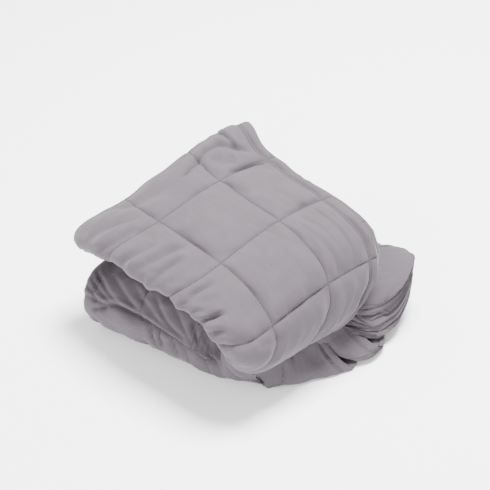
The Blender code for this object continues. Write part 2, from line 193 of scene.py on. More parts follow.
def cloth_along_strip():
    """How much cloth lies between the end fold and each point of FACE_CURVE.

    On the top bundle and the turn, the cloth follows the outer face. The rest is gathered in the lower
    bundle.
    """
    outer = lengths_along(FACE_CURVE[:, 3:5])
    from_fold = outer[-1] - outer
    tuck = from_fold[TUCK_ROW * DENSE]
    gathered = (FOLDED_LENGTH - tuck) / (from_fold[0] - tuck)
    return np.where(from_fold <= tuck, from_fold, tuck + (from_fold - tuck) * gathered)


CLOTH_ALONG = cloth_along_strip()


def strip_at(cloth, curve):
    """The columns of a curve where that much cloth lies between there and the end fold."""
    return np.array([np.interp(cloth, CLOTH_ALONG[::-1], column[::-1]) for column in curve.T])


def eased(share):
    """A share held between 0 and 1, with a soft start and a soft end."""
    share = np.clip(share, 0, 1)
    return share * share * (3 - 2 * share)


def within(inside, fade):
    """1 for a distance of 0 or more inside some limits, falling to 0 over the fade outside them."""
    return eased(inside / fade + 1)


def turned(x, y, degrees):
    """A place turned about Z."""
    angle = math.radians(degrees)
    return x * math.cos(angle) - y * math.sin(angle), x * math.sin(angle) + y * math.cos(angle)


def section_at(closed, open_fold, hem_b, hem_a, height, across):
    """The middle line of the strip's four double layers, at places s across the cloth.

    It runs from hem b on the outside to hem a on the inside: a layer, a wide fold round the two inner
    layers, the next layer, and so on. Gives (y, height) points and the line's direction there.
    """
    pitch = height / LAYERS
    levels = [height - pitch / 2 - pitch * k for k in range(LAYERS)]
    fold_y = closed + 2 * pitch
    turn_y = open_fold - pitch
    # For a line: its first y, its level, its way and its length. For an arc: centre, way and radius.
    spans = (
        ("line", hem_b, levels[0], -1, hem_b - fold_y),
        ("arc", fold_y, height / 2, 1, 1.5 * pitch),
        ("line", fold_y, levels[3], 1, turn_y - fold_y),
        ("arc", turn_y, pitch, 1, pitch / 2),
        ("line", turn_y, levels[2], -1, turn_y - fold_y),
        ("arc", fold_y, height / 2, -1, pitch / 2),
        ("line", fold_y, levels[1], 1, hem_a - fold_y),
    )
    starts = (None, math.pi / 2, None, -math.pi / 2, None, -math.pi / 2, None)  # the arcs' first angles
    total = sum(size if kind == "line" else math.pi * size for kind, *_, size in spans)
    where = across * total / WIDTH
    points = np.zeros((len(across), 2))
    direction = np.zeros((len(across), 2))
    begin = 0.0
    for (kind, y, level, way, size), start in zip(spans, starts):
        span = size if kind == "line" else math.pi * size
        inside = (where >= begin - NEARLY_ZERO) if begin else np.ones(len(across), bool)
        along = where[inside] - begin
        if kind == "line":
            points[inside] = np.stack([y + way * along, np.full(len(along), level)], axis=1)
            direction[inside] = (way, 0.0)
        else:
            angle = start + way * along / size
            points[inside] = np.stack([y + size * np.cos(angle), level + size * np.sin(angle)], axis=1)
            direction[inside] = way * np.stack([-np.sin(angle), np.cos(angle)], axis=1)
        begin += span
    return points, direction


def fan_out(x, z, share, y, row):
    """How far points reach out and rise towards the tips of the fan."""
    if abs(row - SPREAD_ROW) >= SPREAD_ROWS:
        return np.zeros(len(y)), np.zeros(len(y))
    spread = math.cos(math.pi / 2 * (row - SPREAD_ROW) / SPREAD_ROWS) ** 2
    tips = np.array([np.interp(y, TIP_CURVE[:, 0], column) for column in TIP_CURVE.T[1:]])
    reach, height = tips[:len(TIP_SHARES)], tips[len(TIP_SHARES):]
    tip_x = np.array([np.interp(share[k], TIP_SHARES, reach[:, k]) for k in range(len(y))])
    tip_z = np.array([np.interp(share[k], TIP_SHARES, height[:, k]) for k in range(len(y))])
    start = np.interp(share, TIP_SHARES, SPREAD_FROM)
    spread = spread * eased((y - start) / SPREAD_OVER)
    return (tip_x - x) * spread, (tip_z - z) * spread


def place(line, row, face):
    """Points (y, height) of the section at their place on the strip, and the room a sheet has there."""
    in_x, in_z, in_turn, out_x, out_z, out_turn, lift, bow = face
    y, height = line[:, 0], line[:, 1]
    share = height / math.dist((in_x, in_z), (out_x, out_z))
    on_top = eased((out_z - TOP_FROM) / TOP_OVER)
    lifted = eased((y - LIFT_FROM) / (LIFT_TO - LIFT_FROM)) * (1 - on_top)
    lifted += eased((y - FLAP_FROM) / (FLAP_TO - FLAP_FROM)) * on_top
    crown = np.where(y < 0, CROWN_CLOSED, CROWN_OPEN) * eased(np.abs(y) / CROWN_AT) * on_top
    mouth = MOUTH_RISE * eased(-y / CROWN_AT) * on_top
    mouth = mouth * eased((in_x - MOUTH_FROM) / MOUTH_OVER) * eased((MOUTH_TO - in_x) / MOUTH_END)
    inner_x, inner_y = turned(in_x, y, in_turn)
    outer_x, outer_y = turned(out_x - bow * (y / BOW_AT) ** 4, y, out_turn)
    inner = np.stack([inner_x, inner_y, in_z + mouth], axis=1)
    across = np.stack([outer_x, outer_y, out_z + lift * lifted - crown], axis=1) - inner
    points = inner + across * share[:, None]
    reach, rise = fan_out(turned(points[:, 0], points[:, 1], -FAN_TURN)[0], points[:, 2], share, y, row)
    reach_x, reach_y = turned(reach, 0.0, FAN_TURN)
    return points + np.stack([reach_x, reach_y, rise], axis=1), np.linalg.norm(across, axis=1) / SHEETS


def sheet_row(from_fold, angle, across):
    """One row of points half way through the cloth, at places s across it.

    angle turns round the end fold, from the outer sheet (0) to the inner one (pi). Gives the points, the
    direction of their line, the room a sheet has there, and the row of FACES that they are at.
    """
    side, bulge = math.cos(angle), math.sin(angle)
    face = strip_at(from_fold, FACE_CURVE)
    closed, open_fold, b_out, b_in, a_in, a_out = strip_at(from_fold, EDGE_CURVE)
    row = float(np.interp(from_fold, CLOTH_ALONG[::-1], np.arange(len(CLOTH_ALONG))[::-1] / DENSE))
    height = math.dist((face[0], face[1]), (face[3], face[4]))
    sheet = height / SHEETS
    outward = (side + 1) / 2
    line, direction = section_at(closed, open_fold, b_in + (b_out - b_in) * outward,
                                 a_in + (a_out - a_in) * outward, height, across)
    right = np.stack([direction[:, 1], -direction[:, 0]], axis=1)
    line = line + right * side * sheet / 2
    points, room = place(line, row, face)
    ahead, behind = (place(line + step * direction * TINY, row, face)[0] for step in (1, -1))
    along_line = ahead - behind
    points[:, 0] -= bulge * sheet / 2
    return points, along_line, room, row


# The grid of the fine mesh, as limits and the spacing up to each. ACROSS_STEPS goes by s. OUTER_STEPS and
# INNER_STEPS go by the cloth from the end fold, on the half that shows and on the other one.
ACROSS_STEPS = ((0.124, 0.0035), (0.24, 0.0056), (0.31, 0.0032), (0.335, 0.0024), (0.400, 0.0017),
                (0.42, 0.0040), (0.62, 0.016), (0.68, 0.0060), (0.90, 0.028), (0.98, 0.0060), (1.12, 0.028),
                (WIDTH, 0.010))
OUTER_STEPS = ((0.22, 0.0034), (0.36, 0.0040), (0.52, 0.0029), (FOLDED_LENGTH, 0.0042))
INNER_STEPS = ((0.36, 0.016), (0.50, 0.006), (FOLDED_LENGTH, 0.018))
BESIDE_SEAM = (-0.0042, -0.0020, 0.0, 0.0020, 0.0042)  # the grid lines that each seam has of its own
CLEAR_OF_SEAM = 0.0022  # how far other grid lines stay from those
CLOSEST = 0.0006  # two grid lines closer than this become one
END_FOLD_ROWS = 9
OUTER_CLEAR, INNER_CLEAR = 0.003, 0.006  # how far other rows stay from those of the end fold


def grid_lines(steps, seams):
    """Places from 0 to the last limit with the given spacings, with extra ones on and beside the seams."""
    lines, start = [0.0], 0.0
    for limit, spacing in steps:
        count = max(1, round((limit - start) / spacing))
        lines += [start + (limit - start) * (k + 1) / count for k in range(count)]
        start = limit
    near = [seam + beside for seam in seams for beside in BESIDE_SEAM if 0 < seam + beside < start]
    kept = [a for a in lines if all(abs(a - b) > CLEAR_OF_SEAM for b in near) or a in (0.0, start)]
    lines = sorted(kept + near)
    return np.array([a for a, b in zip(lines, lines[1:] + [FAR]) if b - a > CLOSEST])


def odd_count(lines):
    """The same lines, with one more between the last two if their number is even."""
    if len(lines) % 2:
        return lines
    return np.insert(lines, len(lines) - 1, (lines[-2] + lines[-1]) / 2)


def cloth_rows():
    """(cloth from the end fold, angle round it) of each row of points, from one short hem to the other.

    Their number is odd, as the back's grid has every second one.
    """
    outer_seams = [FOLDED_LENGTH - t for t in END_LINES if t < FOLDED_LENGTH]
    inner_seams = [t - FOLDED_LENGTH for t in END_LINES if t > FOLDED_LENGTH]
    outer = grid_lines(OUTER_STEPS, outer_seams)
    inner = grid_lines(INNER_STEPS, inner_seams)
    rows = [(cloth, 0.0) for cloth in outer[::-1] if cloth > OUTER_CLEAR]
    rows += [(0.0, angle) for angle in np.linspace(0, math.pi, END_FOLD_ROWS)]
    rows += [(cloth, math.pi) for cloth in inner if cloth > INNER_CLEAR]
    if len(rows) % 2 == 0:
        rows.insert(-1, ((rows[-1][0] + rows[-2][0]) / 2, math.pi))
    return rows


def middle_surface():
    """Grids half way through the cloth.

    They hold its points, its unit normals on the outer side, s, t, the row of FACES, 1 on the outer sheets
    and 0 on the inner ones, and the room it has.
    """
    across = odd_count(grid_lines(ACROSS_STEPS, SIDE_LINES))
    ones = np.ones(len(across))
    rows = []
    for from_fold, angle in cloth_rows():
        row_points, along_line, room, row = sheet_row(from_fold, angle, across)
        if from_fold > 0:
            step = TINY * math.cos(angle)
            ahead = sheet_row(from_fold - step, angle, across)[0]
            behind = sheet_row(from_fold + step, angle, across)[0]
        else:
            ahead = sheet_row(0.0, angle + TINY, across)[0]
            behind = sheet_row(0.0, angle - TINY, across)[0]
        normal = np.cross(ahead - behind, along_line)
        normal /= np.linalg.norm(normal, axis=1)[:, None]
        t = FOLDED_LENGTH - from_fold if angle < math.pi / 2 else FOLDED_LENGTH + from_fold
        outer = (math.cos(angle) + 1) / 2
        rows.append((row_points, normal, across, ones * t, ones * row, ones * outer, room))
    return tuple(np.array(grid) for grid in zip(*rows))


# ---- The relief of the cloth, in (s, t) metres ----
SWELL = 0.010  # how far from a seam the filling takes to swell by most of its thickness
GROOVE, GROOVE_WIDTH = 0.0011, 0.0017  # the seam pulled into the cloth: its depth and half its width
OUTSIDE_TO = 0.45  # the outer sheet up to this s is the one that shows on the pile
INNER_RELIEF = 0.25  # the share of the small relief that the cloth has where it doesn't show
THINNEST = 0.0010  # the cloth in its creases

# Creases that show: depth, half width, by what share they are narrower on one side and wider on the other,
# how much shade is painted inside them, and the points (s, t) that they run through.
CREASES = (
    # Over the closed folds of the top bundle, going in from its edge.
    (0.0053, 0.0054, 0.2, 0.4, ((0.324, 0.597), (0.297, 0.600), (0.275, 0.603), (0.246, 0.600))),
    (0.0045, 0.0066, 0.2, 0.3, ((0.318, 0.627), (0.284, 0.627), (0.260, 0.623), (0.226, 0.614))),
    (0.0053, 0.0051, 0.2, 0.4, ((0.322, 0.537), (0.300, 0.541), (0.282, 0.548), (0.252, 0.545))),
    (0.0068, 0.0034, 0.3, 1.0, ((0.320, 0.494), (0.300, 0.499), (0.290, 0.501), (0.268, 0.502))),
    (0.0028, 0.0054, 0.0, 0.0, ((0.328, 0.582), (0.306, 0.584), (0.280, 0.580))),
    (0.0036, 0.0045, 0.0, 0.3, ((0.326, 0.522), (0.306, 0.520), (0.288, 0.516))),
    (0.0053, 0.0042, 0.2, 0.6, ((0.322, 0.468), (0.304, 0.474), (0.282, 0.478))),
    (0.0032, 0.0054, 0.0, 0.2, ((0.322, 0.612), (0.306, 0.613), (0.284, 0.610))),
    (0.0036, 0.0060, 0.0, 0.3, ((0.322, 0.706), (0.308, 0.692), (0.284, 0.686), (0.250, 0.690))),
    (0.0036, 0.0060, 0.0, 0.2, ((0.324, 0.655), (0.304, 0.650), (0.284, 0.646), (0.252, 0.642))),
    # Soft folds in the cells next to the end fold, and sharper ones in the raised corner.
    (0.0034, 0.0080, 0.0, 0.1, ((0.316, 0.730), (0.286, 0.719), (0.254, 0.706), (0.224, 0.698))),
    (0.0022, 0.0070, 0.0, 0.0, ((0.250, 0.742), (0.216, 0.728), (0.180, 0.720))),
    (0.0044, 0.0052, 0.2, 0.5, ((0.130, 0.716), (0.114, 0.727), (0.094, 0.736), (0.068, 0.732),
                                (0.046, 0.712), (0.022, 0.690))),
    (0.0040, 0.0034, 0.3, 0.8, ((0.056, 0.768), (0.051, 0.748), (0.048, 0.728), (0.047, 0.706))),
    (0.0030, 0.0030, 0.2, 0.9, ((0.092, 0.681), (0.070, 0.679), (0.044, 0.675), (0.012, 0.669))),
    (0.0030, 0.0034, 0.2, 0.6, ((0.150, 0.714), (0.132, 0.720), (0.112, 0.725), (0.100, 0.738))),
    (0.0024, 0.0060, 0.0, 0.1, ((0.094, 0.720), (0.082, 0.700), (0.060, 0.690))),
    # Pulled across the lower bundle, from its end to the turn.
    (0.0026, 0.0034, 0.3, 0.9, ((0.372, -0.006), (0.364, 0.006), (0.357, 0.020), (0.353, 0.044))),
    (0.0026, 0.0034, 0.3, 0.8, ((0.386, -0.006), (0.372, 0.012), (0.363, 0.034), (0.356, 0.064))),
    (0.0030, 0.0036, 0.3, 0.9, ((0.398, -0.006), (0.384, 0.012), (0.368, 0.042), (0.359, 0.072),
                                (0.351, 0.108))),
    (0.0024, 0.0036, 0.3, 0.7, ((0.396, 0.024), (0.378, 0.060), (0.363, 0.096), (0.351, 0.134))),
    (0.0022, 0.0036, 0.3, 0.6, ((0.392, 0.070), (0.374, 0.106), (0.359, 0.142), (0.344, 0.180))),
    (0.0026, 0.0036, 0.3, 0.8, ((0.390, 0.114), (0.371, 0.141), (0.357, 0.165), (0.338, 0.206))),
    (0.0026, 0.0036, 0.3, 0.8, ((0.386, 0.152), (0.368, 0.178), (0.350, 0.197), (0.306, 0.238))),
    # Strands nested in the turn, at the end of the mouth.
    (0.0036, 0.0052, 0.3, 1.0, ((0.384, 0.192), (0.351, 0.213), (0.331, 0.224), (0.294, 0.247),
                                (0.233, 0.273))),
    (0.0038, 0.0054, 0.3, 1.0, ((0.376, 0.216), (0.340, 0.230), (0.307, 0.247), (0.223, 0.280),
                                (0.175, 0.295))),
    (0.0034, 0.0054, 0.3, 1.0, ((0.370, 0.242), (0.325, 0.252), (0.281, 0.268), (0.201, 0.296),
                                (0.160, 0.308))),
    # The deep crease along the lower bundle's closed folds, and small pleats under it.
    (0.0100, 0.0056, 0.5, 1.0, ((0.353, -0.030), (0.353, 0.006), (0.352, 0.036), (0.358, 0.060),
                                (0.355, 0.098), (0.351, 0.125), (0.348, 0.150), (0.342, 0.174),
                                (0.328, 0.208), (0.290, 0.244), (0.198, 0.285))),
    (0.0036, 0.0035, 0.0, 0.9, ((0.336, 0.012), (0.340, 0.022), (0.352, 0.046))),
    (0.0036, 0.0030, 0.0, 1.0, ((0.352, 0.126), (0.340, 0.124), (0.328, 0.132), (0.318, 0.142))),
    (0.0031, 0.0027, 0.0, 0.8, ((0.352, 0.140), (0.338, 0.138), (0.326, 0.150))),
    (0.0027, 0.0027, 0.0, 0.7, ((0.350, 0.157), (0.338, 0.161), (0.322, 0.172))),
    (0.0023, 0.0032, 0.0, 0.5, ((0.346, 0.176), (0.332, 0.180), (0.312, 0.190))),
    # Beside the outer hem, drawn tight over the turn.
    (0.0017, 0.0036, 0.0, 0.3, ((0.054, 0.570), (0.050, 0.540), (0.047, 0.500), (0.051, 0.452))),
    (0.0015, 0.0036, 0.0, 0.2, ((0.078, 0.556), (0.071, 0.520), (0.068, 0.480), (0.071, 0.446))),
    (0.0015, 0.0034, 0.0, 0.2, ((0.096, 0.550), (0.088, 0.516), (0.084, 0.474), (0.088, 0.440))),
    (0.0012, 0.0034, 0.0, 0.1, ((0.036, 0.545), (0.034, 0.505), (0.032, 0.470))),
    # Across the front of the turn and the lowest sheet in front of it.
    (0.0014, 0.0046, 0.0, 0.1, ((0.262, 0.440), (0.236, 0.430), (0.206, 0.424))),
    (0.0027, 0.0032, 0.2, 1.0, ((0.120, 0.358), (0.107, 0.349), (0.093, 0.340), (0.078, 0.328))),
    (0.0018, 0.0032, 0.0, 0.5, ((0.110, 0.362), (0.098, 0.352), (0.082, 0.342))),
)

CREASE_ENDS = 0.25  # the share of its length over which a crease fades out at either end
CREASE_SHADE = 0.8  # how wide the shade painted inside it is, for a half width of 1
TROUGH_FALL, TROUGH_POWER = 0.9, 1.6  # how its trough rises away from its middle
RIDGE, RIDGE_AT = 0.28, 2.3  # the ridges beside it: height for a depth of 1, and half widths away

# Wrinkles that are too many to place: their height, how long they are across (s) and along (t) the cloth,
# a seed, and the patch that they are in: from s to s and from t to t, -1 and FAR where it has no limit.
# The last column says over what distance outside the patch they fade out.
WRINKLES = (
    (0.0018, 0.036, 0.030, 11, -1.0, FAR, -1.0, FAR, 0.01),
    (0.0010, 0.015, 0.013, 12, -1.0, FAR, -1.0, FAR, 0.01),
    (0.0013, 0.0080, 0.060, 13, -1.0, 0.125, 0.40, 0.58, 0.05),
    (0.0013, 0.0090, 0.045, 14, 0.08, 0.30, 0.38, 0.50, 0.05),
    (0.0007, 0.0068, 0.040, 15, -1.0, 0.09, 0.55, 0.76, 0.04),
    (0.0022, 0.050, 0.0115, 16, 0.285, 0.345, 0.44, 0.70, 0.018),
    (0.0010, 0.030, 0.0090, 17, 0.230, 0.345, 0.66, 0.76, 0.03),
    (0.0005, 0.0090, 0.070, 18, 0.330, 0.420, -1.0, 0.19, 0.02),
    (0.0012, 0.0200, 0.010, 20, -1.0, 0.150, 0.28, 0.39, 0.02),
)
WRINKLE_FULL = 0.006  # how far from a seam the wrinkles have their whole height
# The small gathers beside the seams: their height, how far apart and how long they are, over what distance
# from a seam they die away, over what distance close to it they grow, and their seeds.
PUCKER, PUCKER_SPACING, PUCKER_LENGTH = 0.0015, 0.0090, 0.05
PUCKER_REACH, PUCKER_FULL = 0.008, 0.004
SIDE_SEED, END_SEED = 31, 32
# From this t to the end fold the cloth is pulled over the fold. There its fullness goes this much of the
# way to one even value, so that its seams are less sunk.
CALM_FROM, CALM, CALM_FULLNESS = 0.695, 0.65, 0.75
# In rows of FACES, and with the rows over which it fades:
PRESSED_ROWS, PRESSED_FADE = 1.8, 1.5  # how far on both sides of SPREAD_ROW the sheets are pressed flat
TUCK_ROWS, TUCK_FADE = 0.9, 1.5  # how far on both sides of TUCK_ROW nothing swells outwards
FREE_FROM, FREE_OVER = 4, 3  # from where the sheet on the outside is free to swell
# The seam along the lower bundle is pulled flat under the deep crease above it: between which s, up to
# which t, and over what distances this begins and ends.
FLAT_FROM, FLAT_TO, FLAT_SIDES = 0.322, 0.350, 0.006
FLAT_END, FLAT_FADE = 0.245, 0.03
AROUND = 2  # how many grid lines around it the back of a point goes by
NOISE_SIZE, NOISE_ACROSS, NOISE_ALONG = 4096, 73, 911  # random heights, and the steps to a neighbour's


def away_from(values, seams):
    """Distance to the nearest of the seams."""
    return np.min([np.abs(values - seam) for seam in seams], axis=0)


def noise(x, y, seed):
    """Smooth noise from -1 to 1 over points whose lattice has a spacing of 1."""
    table = np.random.default_rng(seed).uniform(-1, 1, NOISE_SIZE)
    column, row = np.floor(x).astype(int), np.floor(y).astype(int)
    across, along = eased(x - column), eased(y - row)

    def mixed_across(row):
        left, right = (table[((column + k) * NOISE_ACROSS + row * NOISE_ALONG) % NOISE_SIZE] for k in (0, 1))
        return left * (1 - across) + right * across

    return mixed_across(row) * (1 - along) + mixed_across(row + 1) * along


def patch(s, t, s_from, s_to, t_from, t_to, fade):
    """1 inside a patch of the cloth, falling to 0 over the fade around it."""
    inside = np.minimum(np.minimum(s - s_from, s_to - s), np.minimum(t - t_from, t_to - t))
    return within(inside, fade)


def beside_line(s, t, line):
    """Distance to a line through points, its side (-1 or 1), and how far along it that is, from 0 to 1."""
    line = np.array(line, float)
    lengths = lengths_along(line)
    nearest, side, share = np.full(s.shape, FAR), np.zeros(s.shape), np.zeros(s.shape)
    for k, (start, end) in enumerate(zip(line, line[1:])):
        step = end - start
        off_s, off_t = s - start[0], t - start[1]
        along = np.clip((off_s * step[0] + off_t * step[1]) / (step @ step), 0, 1)
        away = np.hypot(off_s - along * step[0], off_t - along * step[1])
        closer = away < nearest
        nearest = np.where(closer, away, nearest)
        side = np.where(closer, np.sign(off_s * step[1] - off_t * step[0]), side)
        share = np.where(closer, (lengths[k] + along * (lengths[k + 1] - lengths[k])) / lengths[-1], share)
    return nearest, side, share


def creases(s, t):
    """The creases' troughs, with a low ridge on both sides of each, and the shade painted inside them."""
    height, painted_shade = np.zeros(s.shape), np.zeros(s.shape)
    for depth, half_width, lean, shade_strength, line in CREASES:
        away, side, share = beside_line(s, t, line)
        ends = eased(share / CREASE_ENDS) * eased((1 - share) / CREASE_ENDS)
        # shade painted inside the crease, darkest along its middle
        painted_shade = np.maximum(painted_shade, shade_strength * ends * np.exp(-(away / (CREASE_SHADE * half_width)) ** 2))
        away = away / (half_width * (1 - lean * side))
        ridge = RIDGE * np.exp(-(away - RIDGE_AT) ** 2)
        height -= depth * ends * (np.exp(-TROUGH_FALL * away ** TROUGH_POWER) - ridge)
    return height, painted_shade


def wrinkles(s, t):
    """The height of all wrinkles together."""
    height = np.zeros(s.shape)
    for size, across, along, seed, *where in WRINKLES:
        height += size * noise(s / across, t / along, seed) * patch(s, t, *where)
    return height


def puckers(s, t, side, end):
    """Small gathers of the cloth beside its seams, at distances from the seams along and across it."""
    beside_side = noise(t / PUCKER_SPACING, s / PUCKER_LENGTH, SIDE_SEED) * np.exp(-side / PUCKER_REACH)
    beside_end = noise(s / PUCKER_SPACING, t / PUCKER_LENGTH, END_SEED) * np.exp(-end / PUCKER_REACH)
    return PUCKER * (beside_side + beside_end) * eased(np.minimum(side, end) / PUCKER_FULL)


def hidden_seam(s, t):
    """1 where the seam along the lower bundle is pulled flat under the crease above it."""
    across = eased((s - FLAT_FROM) / FLAT_SIDES) * eased((FLAT_TO - s) / FLAT_SIDES)
    return across * eased((FLAT_END - t) / FLAT_FADE)


def fullness(t, row, side, end):
    """How full the cloth is: 0 on its stitching, 1 in the middle of a cell, 0 where it is pressed flat."""
    full = (1 - np.exp(-side / SWELL)) * (1 - np.exp(-end / SWELL))
    full = full + (CALM_FULLNESS - full) * CALM * eased((t - CALM_FROM) / (FOLDED_LENGTH - CALM_FROM))
    return full * (1 - within(PRESSED_ROWS - np.abs(row - SPREAD_ROW), PRESSED_FADE))


def free_to_swell(shown, row):
    """1 where nothing presses on the cloth: outside on the turn and the top bundle, except at the tuck."""
    tucked = within(TUCK_ROWS - np.abs(row - TUCK_ROW), TUCK_FADE)
    return shown * eased((row - FREE_FROM) / FREE_OVER) * (1 - tucked)


def highest_around(values):
    """The highest value within AROUND grid lines of each point."""
    rows, columns = values.shape
    padded = np.pad(values, AROUND, mode="edge")
    window = range(2 * AROUND + 1)
    return np.max([padded[i:i + rows, j:j + columns] for i in window for j in window], axis=0)


def relief(s, t, row, outer, room):
    """How far the cloth's front and back stand out from its middle, and the shade painted into its creases.
    """
    side = away_from(s, [0.0, *SIDE_LINES, WIDTH])
    end = away_from(t, [0.0, *END_LINES, LENGTH])
    near = np.minimum(side, end)
    sewn = 1 - hidden_seam(s, t)
    shown = outer * (s < OUTSIDE_TO)
    full = fullness(t, row, side, end)
    half = (SEAM_THICK + (CELL_THICK - SEAM_THICK) * full) / 2
    half = np.minimum(half, ROOM * room)
    groove = GROOVE * np.exp(-(near / GROOVE_WIDTH) ** 2) * sewn
    trough, painted_shade = creases(s, t)
    small = wrinkles(s, t) * eased(near / WRINKLE_FULL) + puckers(s, t, side, end) * sewn
    lay = trough * shown + small * (INNER_RELIEF + (1 - INNER_RELIEF) * shown)
    front = half + PUFF * full * free_to_swell(shown, row) - groove + lay
    # Where a crease is deeper than the cloth is thick, the back goes in with it. The back's grid is half
    # as fine, so it goes by the deepest place around each of its points.
    back = highest_around(np.maximum(half, THINNEST - front))
    back = half + (back - half) * eased((back - half) / THINNEST)
    # the crease shade is painted only on the outer sheet where it shows
    return front, back, painted_shade * shown


def closed_sheet(front, back):
    """Vertices and faces of the solid between a fine front grid and a back grid that is half as fine."""
    rows, columns = front.shape[:2]
    back_columns = (columns + 1) // 2
    under = rows * columns
    faces = []
    for i in range(rows - 1):
        for j in range(columns - 1):
            a, b = i * columns + j, (i + 1) * columns + j
            faces.append((a, b, b + 1, a + 1))
    for i in range((rows - 1) // 2):
        for j in range(back_columns - 1):
            a, b = under + i * back_columns + j, under + (i + 1) * back_columns + j
            faces.append((a + 1, b + 1, b, a))
    rim = [(0, j) for j in range(columns)] + [(i, columns - 1) for i in range(1, rows)]
    rim += [(rows - 1, j) for j in range(columns - 2, -1, -1)] + [(i, 0) for i in range(rows - 2, 0, -1)]
    for k in range(0, len(rim), 2):
        first, middle, last = rim[k], rim[k + 1], rim[(k + 2) % len(rim)]
        a, m, b = (i * columns + j for i, j in (first, middle, last))
        c, d = (under + (i // 2) * back_columns + j // 2 for i, j in (first, last))
        faces.append((a, m, b, d, c))
    return np.concatenate([front.reshape(-1, 3), back.reshape(-1, 3)]), faces


def settle(points):
    """Points of the pile set on the floor, with the origin under its middle."""
    points = points.copy()
    points[..., :2] -= MIDDLE
    points[..., 2] = np.maximum(points[..., 2] - SINK, 0.0)
    return points


def new_object(name, vertices, faces):
    """A smooth mesh object in the scene."""
    mesh = bpy.data.meshes.new(name)
    mesh.from_pydata(vertices.tolist(), [], faces)
    mesh.shade_smooth()
    thing = bpy.data.objects.new(name, mesh)
    bpy.context.scene.collection.objects.link(thing)
    return thing


def on_both(values):
    """Values of the front's grid, followed by those of the back's."""
    tail = values.shape[2:]
    return np.concatenate([values.reshape(-1, *tail), values[::2, ::2].reshape(-1, *tail)])


def build_cloth():
    """The cloth, and its front's points with the s of their columns and the t of their rows."""
    points, normals, s, t, row, outer, room = middle_surface()
    front_depth, back_depth, painted_shade = relief(s, t, row, outer, room)
    front = settle(points + normals * front_depth[:, :, None])
    back = settle(points - normals * back_depth[:, :, None])[::2, ::2]
    cloth = new_object("blanket_cloth", *closed_sheet(front, back))
    corners = np.zeros(len(cloth.data.loops), int)
    cloth.data.loops.foreach_get("vertex_index", corners)
    flat = on_both(np.stack([s, t], axis=2))[corners]
    layer = cloth.data.uv_layers.new(name="cloth")
    layer.data.foreach_set("uv", flat.reshape(-1).astype(np.float32))
    # the painted crease shade and the mask of the flattened seam go to the material as attributes
    for name, values in (("painted_shade", painted_shade), ("hidden", hidden_seam(s, t))):
        shade = cloth.data.attributes.new(name, "FLOAT", "POINT")
        shade.data.foreach_set("value", on_both(values).astype(np.float32))
    return cloth, (front, s[0], t[:, 0])


# ---- Stitches ----
STITCH, STITCH_SPACE, THREAD = 0.0030, 0.0042, 0.00075  # one stitch, from one to the next, and its thickness
STITCH_LIFT = 0.0003  # how far its middle stands out from the groove
STITCH_SIDES = 4


def on_front(front, columns, rows, s, t):
    """Points of the cloth's front at places (s, t) between the lines of its grid."""
    j = np.clip(np.searchsorted(columns, s, "right") - 1, 0, len(columns) - 2)
    i = np.clip(np.searchsorted(rows, t, "right") - 1, 0, len(rows) - 2)
    a = ((s - columns[j]) / (columns[j + 1] - columns[j]))[:, None]
    b = ((t - rows[i]) / np.maximum(rows[i + 1] - rows[i], NEARLY_ZERO))[:, None]
    near = front[i, j] * (1 - a) + front[i, j + 1] * a
    return near * (1 - b) + (front[i + 1, j] * (1 - a) + front[i + 1, j + 1] * a) * b


def stitch_places():
    """The middle (s, t) of every stitch, and 1 where its seam runs along the cloth."""
    places = []
    for lines, size, along in ((END_LINES, WIDTH, 0.0), (SIDE_LINES, LENGTH, 1.0)):
        run = np.arange(HEMS[0] + STITCH_SPACE, size - HEMS[0] - STITCH_SPACE, STITCH_SPACE)
        if along:  # none on the sharp end fold
            run = run[np.abs(run - FOLDED_LENGTH) > STITCH_SPACE]
        for line in lines:
            fixed = np.full(len(run), line)
            place_on = (fixed, run) if along else (run, fixed)
            places.append(np.stack([*place_on, np.full(len(run), along)], axis=1))
    places = np.vstack(places)
    return places[hidden_seam(places[:, 0], places[:, 1]) < 0.5]


def unit(vectors):
    """The same vectors with a length of 1."""
    return vectors / np.maximum(np.linalg.norm(vectors, axis=1), NEARLY_ZERO)[:, None]


def build_stitches(front, columns, rows):
    """Every stitch is a slim spindle of thread with eight faces that lies in the groove of its seam."""
    s, t, along = stitch_places().T
    step_s, step_t = (1 - along) * STITCH / 2, along * STITCH / 2
    start = on_front(front, columns, rows, s - step_s, t - step_t)
    finish = on_front(front, columns, rows, s + step_s, t + step_t)
    middle = on_front(front, columns, rows, s, t)
    left = on_front(front, columns, rows, s - along * THREAD, t + (1 - along) * THREAD)
    right = on_front(front, columns, rows, s + along * THREAD, t - (1 - along) * THREAD)
    line, width = unit(finish - start), right - left
    width = unit(width - line * np.sum(width * line, axis=1)[:, None])
    out = np.cross(line, width)
    half = THREAD / 2
    ring = [middle + out * (STITCH_LIFT + half), middle + width * half + out * STITCH_LIFT,
            middle + out * (STITCH_LIFT - half), middle - width * half + out * STITCH_LIFT]
    corners = [start, *ring, finish]
    vertices = np.stack(corners, axis=1).reshape(-1, 3)
    vertices[:, 2] = np.maximum(vertices[:, 2], 0)
    edges = [(k + 1, (k + 1) % STITCH_SIDES + 1) for k in range(STITCH_SIDES)]
    sides = [(0, a, b) for a, b in edges] + [(STITCH_SIDES + 1, b, a) for a, b in edges]
    faces = [tuple(len(corners) * n + k for k in side) for n in range(len(s)) for side in sides]
    return new_object("stitches", vertices, faces)


